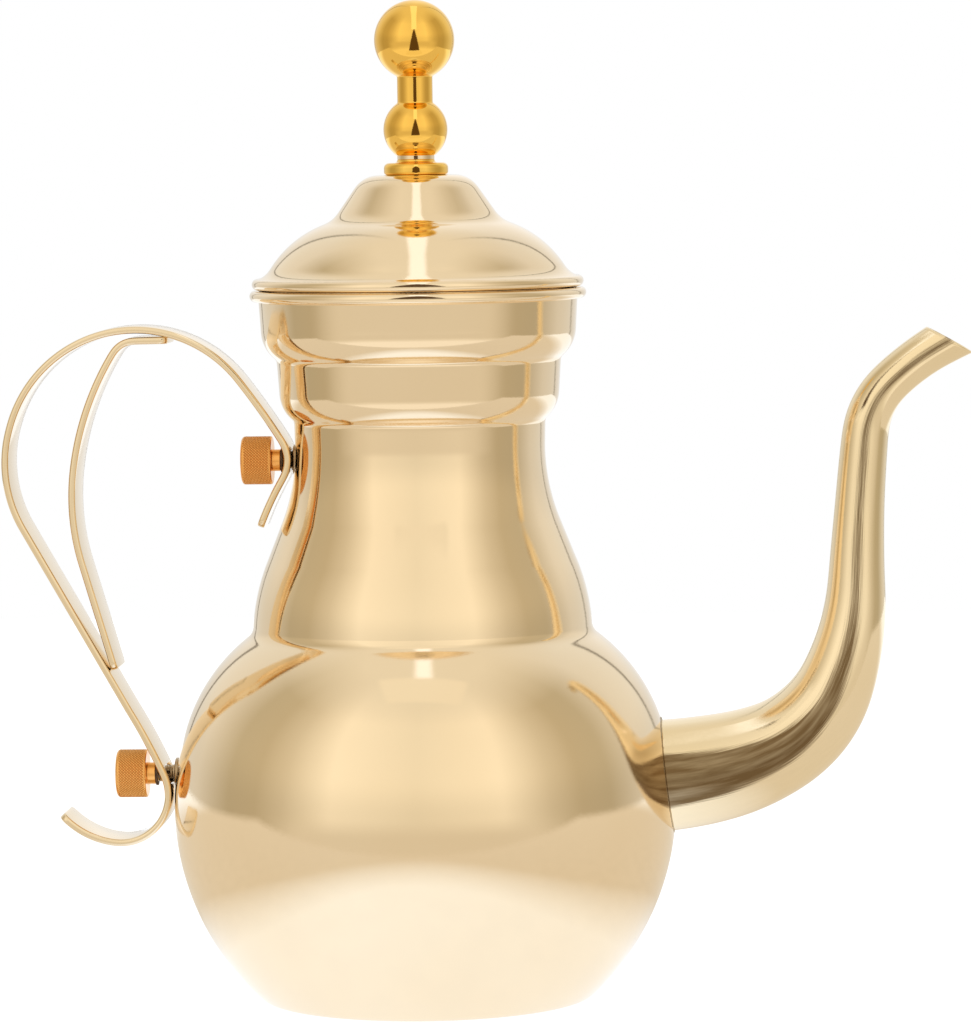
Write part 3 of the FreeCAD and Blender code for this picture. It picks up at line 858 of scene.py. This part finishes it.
def wave(value):
    """A triangle wave from 0 to 1 with a period of 1."""
    return np.abs(((value % 1.0) * 2) - 1)


def capped_faces(rows, sides):
    """The faces of stacked rings, with a flat cap on each end."""
    count = rows * sides
    return grid_faces(rows, sides) + [tuple(range(sides)), tuple(range(count - sides, count))]


def make_stud(place):
    """A welded foot and a threaded shank."""
    wall, height, _ = FIXINGS[place]
    angles = np.linspace(0, 2 * math.pi, STUD_SIDES, endpoint=False)
    rows = [ring_of(radius, angles, z) for radius, z in STUD_FOOT]
    for z in np.arange(THREAD_START, STUD_LENGTH - 0.5, THREAD_STEP):
        fade = min(1.0, (z - THREAD_START) / THREAD_RUN_IN)
        depth = THREAD_DEPTH * fade * wave(z / THREAD_PITCH - angles / (2 * math.pi))
        rows.append(ring_of(STUD_RADIUS - depth, angles, z))
    rows += [ring_of(radius, angles, z) for radius, z in STUD_TIP]
    verts = outward(wall, height)(np.vstack(rows))
    faces = capped_faces(len(rows), STUD_SIDES)
    return new_piece(f"{place}_threaded_stud", verts, faces, plain_steel, POT,
                     [f"{place}_stud"])


def make_washer(place):
    _, height, seat = FIXINGS[place]
    corners = np.array([(WASHER_BORE, 0.0), (WASHER_RADIUS, 0.0), (WASHER_RADIUS, WASHER_THICKNESS),
                        (WASHER_BORE, WASHER_THICKNESS)])
    loop = soften(evenly(corners, 0.06, closed=True), 1.0, closed=True)
    return lathe(f"{place}_dark_grained_washer", loop, dark_washer, f"{place}_carriage",
                 [f"{place}_washer"], 96, place=outward(seat, height))


def knurl_depth(radius, z, angles):
    """How deep the diamond knurl is at each angle, from 0 on its lands to 1 in its grooves."""
    zone = min(max((z - KNURL_LOW) / 0.5, 0), 1) * min(max((KNURL_HIGH - z) / 0.8, 0), 1)
    zone *= radius > NUT_RADIUS - 0.5
    turns = KNURL_ROUND * angles / (2 * math.pi)
    peaks = np.minimum(wave(turns + z / KNURL_PITCH), wave(turns - z / KNURL_PITCH))
    return zone * (1 - np.clip(peaks * KNURL_SHARPNESS, 0, 1))


def make_nut(place):
    """A bored thumb nut with a knurled head."""
    _, height, seat = FIXINGS[place]
    sides = KNURL_ROUND * 8
    angles = np.linspace(0, 2 * math.pi, sides, endpoint=False)
    shoulder = NUT_TOP - NUT_ROUNDING
    profile = [tuple(p) for p in evenly(corner_points(NUT_PROFILE, 0.1), 0.18)]
    profile += [(NUT_RADIUS, z) for z in np.arange(NUT_NECK + 0.45, shoulder, KNURL_PITCH / 8)]
    profile += [tuple(p) for p in ring_points((NUT_RADIUS - NUT_ROUNDING, shoulder), NUT_ROUNDING, 4, 90, 9)]
    profile += [(radius, NUT_TOP) for radius in NUT_FACE_RADII]
    depths = [knurl_depth(radius, z, angles) for radius, z in profile]
    rows = [ring_of(radius - depth * KNURL_DEPTH, angles, z) for (radius, z), depth in zip(profile, depths)]
    verts = outward(seat + WASHER_THICKNESS, height)(np.vstack(rows))
    faces = capped_faces(len(rows), sides)
    nut = new_piece(f"{place}_knurled_nut", verts, faces, copper, f"{place}_nut",
                    [f"{place}_thumb_nut"])
    # The depths also mask the copper's painted shade in the knurl's grooves.
    depths = np.concatenate(depths)
    mark(nut, "knurl", np.column_stack([depths, depths, depths]))


# ------------------------------------------------------------------ lid and finial


FINIAL_SIDES = 160
KNOB_SIDES = 192
FINIAL_BORE = 2.5
RING_RADIUS = 5.2
RING_LOW = 235.5
RING_HIGH = 236.65
SMALL_BALL = (8.95, 243.8)
LARGE_BALL = (11.2, 268.7)
FINIAL_STEM = 4.95
KNOB_BORE_TOP = 243.2
FINIAL_FOOT = [
    (FINIAL_BORE, LID_TOP, 0),
    (8.1, LID_TOP, 0),
    (9.0, 232.1, 0.9),
    (9.0, 233.1, 0),
    (7.5, 234.6, 1.5),
    (6.1, 234.6, 0),
    (RING_RADIUS, RING_LOW, -0.9),
    (FINIAL_BORE, RING_LOW, 0),
]


def make_lid():
    """The dome with its rolled edge, and the skirt under it."""
    bead_across, bead_height, bead_radius = LID_BEAD
    under = soften(evenly(corner_points(LID_UNDER), 0.3), 2.0)
    outer = offset(under, WALL)
    bead = ring_points(LID_BEAD, bead_radius, 75, -200, 40)
    above = outer[(outer[:, 0] < bead_across - 0.6) | (outer[:, 1] > bead_height + 1.4)]
    below = under[under[:, 1] > bead_height + 0.4]
    loop = np.vstack([above, bead, below[::-1]])
    dome = lathe("lid_top", loop, gilded, LID, ["lid_dome"])
    spun_normals(dome, loop)
    skirt = soften(evenly(np.array([corner[:2] for corner in SKIRT]), 0.12, closed=True), 0.8, closed=True)
    collar = lathe("lid_collar", skirt, gilded, LID, ["lid_skirt"])
    spun_normals(collar, skirt)


def make_finial():
    """A turned foot, a pale ring and the two-ball knob, each its own piece."""
    loop = soften(evenly(corner_points(FINIAL_FOOT, FINE_STEP), 0.1, closed=True), 1.0, closed=True)
    piece = lathe("finial_foot", loop, gold, LID, ["finial_flange"], FINIAL_SIDES)
    spun_normals(piece, loop)
    ring = np.array([(FINIAL_BORE, RING_LOW), (RING_RADIUS, RING_LOW), (RING_RADIUS, RING_HIGH),
                     (FINIAL_BORE, RING_HIGH)])
    loop = soften(evenly(ring, 0.08, closed=True), 1.0, closed=True)
    piece = lathe("finial_ring", loop, gilded, LID, ["finial_spacer"], FINIAL_SIDES)
    spun_normals(piece, loop)
    small, low = SMALL_BALL
    large, high = LARGE_BALL
    foot = math.degrees(math.asin((RING_HIGH - low) / small))
    stem_low = math.degrees(math.acos(FINIAL_STEM / small))
    stem_high = math.degrees(math.acos(FINIAL_STEM / large))
    balls = np.vstack([ring_points((0, low), small, foot, stem_low, 60),
                       ring_points((0, high), large, -stem_high, 89.7, 90)])
    turned = soften(evenly(balls, 0.2), 1.0)
    bore = np.array([(PIN, KNOB_BORE_TOP), (FINIAL_BORE, KNOB_BORE_TOP), (FINIAL_BORE, RING_HIGH)])
    profile = np.vstack([evenly(bore, 0.4), turned])
    piece = lathe("finial_knob_turned", profile, gold, LID, ["finial_knob"], KNOB_SIDES,
                  closed=False)
    spun_normals(piece, profile, closed=False)


# ------------------------------------------------------------------ camera and light

CAMERA_DISTANCE = 1.540
CAMERA_HEIGHT = 0.245
CAMERA_ROUND = 4.3
CAMERA_YAW = 0.671
CAMERA_PITCH = 4.028
CAMERA_ROLL = 0.81
FOCAL_PIXELS = 5505.5
IMAGE_HEIGHT = 1024
SENSOR = 36.0


def make_camera():
    round_angle, yaw = math.radians(CAMERA_ROUND), math.radians(CAMERA_YAW)
    pitch, roll = math.radians(CAMERA_PITCH), math.radians(CAMERA_ROLL)
    place = Vector((math.sin(round_angle), -math.cos(round_angle), 0)) * CAMERA_DISTANCE
    place.z = CAMERA_HEIGHT
    level = Matrix.Rotation(round_angle - yaw, 3, "Z")
    turn = level @ Matrix.Rotation(math.radians(90) - pitch, 3, "X") @ Matrix.Rotation(-roll, 3, "Z")
    data = bpy.data.cameras.new("camera")
    data.sensor_width = SENSOR
    data.lens = SENSOR * FOCAL_PIXELS / IMAGE_HEIGHT
    data.clip_end = 50
    camera = bpy.data.objects.new("camera", data)
    camera.matrix_world = Matrix.Translation(place) @ turn.to_4x4()
    bpy.context.scene.collection.objects.link(camera)
    bpy.context.scene.camera = camera


# What the polished metal reflects: (degrees round from the camera's side, linear colour).
SURROUND = [
    (0, (0.86, 0.80, 0.67)),
    (40, (0.97, 0.90, 0.76)),
    (64, (0.66, 0.59, 0.46)),
    (80, (0.53, 0.46, 0.33)),
    (98, (0.51, 0.45, 0.33)),
    (126, (0.75, 0.72, 0.66)),
    (151, (0.80, 0.79, 0.75)),
    (151.6, (0.16, 0.14, 0.12)),
    (152.8, (0.20, 0.18, 0.15)),
    (153.4, (0.76, 0.75, 0.72)),
    (180, (0.95, 0.95, 0.95)),
]
PANEL_HEIGHTS = [(0.0, 0.97), (0.28, 1.10), (0.65, 1.08), (1.0, 1.0)]
# Where each zone starts and ends: the upward part of a direction, or for BELT_END the share of a half turn.
ROOF_EDGE = (0.70, 0.95)
BELT_TOP = (-0.02, -0.14)
BELT_FOOT = (-0.26, -0.44)
BELT_END = (0.42, 0.28)
WHITE = (1, 1, 1)
LOW_FRONT = (0.75, 0.68, 0.56)
UNDER = (1.0, 0.94, 0.84)
ROOF = (0.86, 0.80, 0.68)
STRIP = (1.2, 1.2, 1.2)
SHELF = (0.94, 0.87, 0.73)
DARK = (0.11, 0.07, 0.04)


def make_world():
    """A light tent: cream panels with a seam behind, and a dimmer belt low in front."""
    world = bpy.data.worlds.new("studio")
    world.use_nodes = True
    nodes = Nodes(world.node_tree)
    way = nodes.add("ShaderNodeTexCoord").outputs["Generated"]
    x, y, z = nodes.add("ShaderNodeSeparateXYZ", {"Vector": way}).outputs
    front = nodes.math("MULTIPLY", y, -1.0)
    azimuth = nodes.math("ABSOLUTE", nodes.math("ARCTAN2", x, front))
    share = nodes.math("DIVIDE", azimuth, math.pi)
    around = nodes.ramp(share, [(degrees / 180, colour) for degrees, colour in SURROUND], "LINEAR")
    height = nodes.ramp(z, PANEL_HEIGHTS)
    panels = nodes.blend(1.0, around, height, "MULTIPLY")
    tent = nodes.blend(nodes.span(z, *ROOF_EDGE), panels, ROOF)
    tent = nodes.blend(nodes.span(z, *BELT_FOOT), tent, UNDER)
    belt = nodes.math("MULTIPLY", nodes.span(z, *BELT_TOP), nodes.span(z, *BELT_FOOT[::-1]))
    belt = nodes.math("MULTIPLY", belt, nodes.span(share, *BELT_END))
    tent = nodes.blend(belt, tent, LOW_FRONT)
    seen = nodes.add("ShaderNodeLightPath").outputs["Is Camera Ray"]
    final = nodes.blend(seen, tent, WHITE)
    light = nodes.add("ShaderNodeBackground", {"Color": final, "Strength": 1.0})
    nodes.add("ShaderNodeOutputWorld", {"Surface": light.outputs[0]})
    bpy.context.scene.world = world


FLOOR_FRONT = -0.235
FLOOR_BACK = 1.2
FLOOR_SIDE = 0.9
POOL_ACROSS = 0.10
POOL_ALONG = 0.145
POOL_SHIFT = 0.03
POOL_EDGE = (1.30, 0.75)
BACK_EDGE = (0.25, 0.5)
POOL_LIGHT = (0.90, 0.96, 1.06)
FLOOR_LIGHT = (0.60, 0.545, 0.46)


def stage_mesh(name, corners, faces, material):
    """A flat mesh in metres for the studio round the pot, linked to the scene and attached to none of the
    pot's bodies.
    """
    mesh = bpy.data.meshes.new(name)
    mesh.from_pydata(corners, [], faces)
    mesh.materials.append(material)
    stage = bpy.data.objects.new(name, mesh)
    bpy.context.scene.collection.objects.link(stage)
    return stage


def make_floor():
    """A white sheet, brightest round the pot's foot; the camera sees it plain, and through it from below."""
    material, nodes = new_material("pale_floor")
    where = nodes.add("ShaderNodeTexCoord").outputs["Object"]
    x, y, _ = nodes.add("ShaderNodeSeparateXYZ", {"Vector": where}).outputs
    across = nodes.math("DIVIDE", x, POOL_ACROSS)
    forward = nodes.math("DIVIDE", nodes.math("ADD", y, POOL_SHIFT), POOL_ALONG)
    squares = [nodes.math("MULTIPLY", part, part) for part in (across, forward)]
    pool = nodes.span(nodes.math("SQRT", nodes.math("ADD", *squares)), *POOL_EDGE)
    bright = nodes.math("MAXIMUM", pool, nodes.span(y, *BACK_EDGE))
    glow = nodes.blend(bright, FLOOR_LIGHT, POOL_LIGHT)
    seen = nodes.add("ShaderNodeLightPath").outputs["Is Camera Ray"]
    glow = nodes.blend(seen, glow, WHITE)
    colour = nodes.ramp(nodes.noise(stretched(nodes), 60.0), [(0.3, 0.18), (0.7, 0.20)])
    inputs = {"Base Color": colour, "Roughness": 0.9, "Emission Color": glow, "Emission Strength": 1.0}
    sheet = nodes.add("ShaderNodeBsdfPrincipled", inputs)
    clear = nodes.add("ShaderNodeBsdfTransparent")
    beneath = nodes.add("ShaderNodeNewGeometry").outputs["Backfacing"]
    nodes.surface(nodes.add("ShaderNodeMixShader", {0: beneath, 1: sheet.outputs[0], 2: clear.outputs[0]}))
    corners = [(-FLOOR_SIDE, FLOOR_FRONT, 0), (FLOOR_SIDE, FLOOR_FRONT, 0), (FLOOR_SIDE, FLOOR_BACK, 0),
               (-FLOOR_SIDE, FLOOR_BACK, 0)]
    stage_mesh("floor", corners, [(0, 1, 2, 3)], material)


def make_card(name, line, half_widths, colour):
    """A studio card seen only in reflections, centred on the way from the pot to the camera."""
    material, nodes = new_material(name)
    nodes.surface(nodes.add("ShaderNodeEmission", {"Color": (*colour, 1), "Strength": 1.0}))
    corners = []
    for (y, z), half in zip(line, half_widths):
        middle = -y * math.tan(math.radians(CAMERA_ROUND))
        corners += [(middle - half, y, z), (middle + half, y, z)]
    faces = [(2 * i, 2 * i + 1, 2 * i + 3, 2 * i + 2) for i in range(len(line) - 1)]
    card = stage_mesh(name, corners, faces, material)
    card.visible_camera = False
    card.visible_diffuse = False
    card.visible_shadow = False


# Each card is a line of (y, z) and its half-widths along that line, in metres.
CARD_FRONT = -0.120
OPENING_TOP = 0.335
OPENING_FOOT = 0.200
CARDS = {
    "opening": ([(CARD_FRONT, OPENING_FOOT), (CARD_FRONT, OPENING_TOP)], [0.034, 0.003], DARK),
    "shelf": ([(-0.122, 0.199), (-0.078, 0.199)], [0.042, 0.042], SHELF),
    "strip": ([(CARD_FRONT, OPENING_TOP), (-0.115, 0.370), (-0.095, 0.400), (-0.060, 0.420), (0.060, 0.425)],
              [0.016, 0.017, 0.017, 0.016, 0.016], STRIP),
}


def make_cards():
    """A dark opening in front of the finial with a cream shelf under it, and a bright strip over the lid."""
    for name, (line, half_widths, colour) in CARDS.items():
        make_card(name, line, half_widths, colour)


# ------------------------------------------------------------------ build

belly_outline, neck_outline = body_outline()
make_belly(belly_outline)
make_neck(neck_outline)
make_base()
root_line = make_spout(belly_outline)
make_spout_weld(root_line)
strap_holes = [(*UPPER_HOLE_REACH, FIXINGS["upper"][1]), (*LOWER_HOLE_REACH, FIXINGS["lower"][1])]
make_strap("strap_loop", STRAP, "handle_strap", strap_holes)
make_strap("strap_brace", BRACE, "handle_brace")
for place_name in ("upper", "lower"):
    make_stud(place_name)
    make_washer(place_name)
    make_nut(place_name)
make_lid()
make_finial()

for node_name, node_material in (("finial_screw", plain_steel), ("finial_washer", plain_steel)):
    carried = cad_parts[node_name]
    carried.data.materials.clear()
    carried.data.materials.append(node_material)

make_camera()
make_world()
make_floor()
make_cards()
bpy.context.scene.view_settings.view_transform = "Standard"
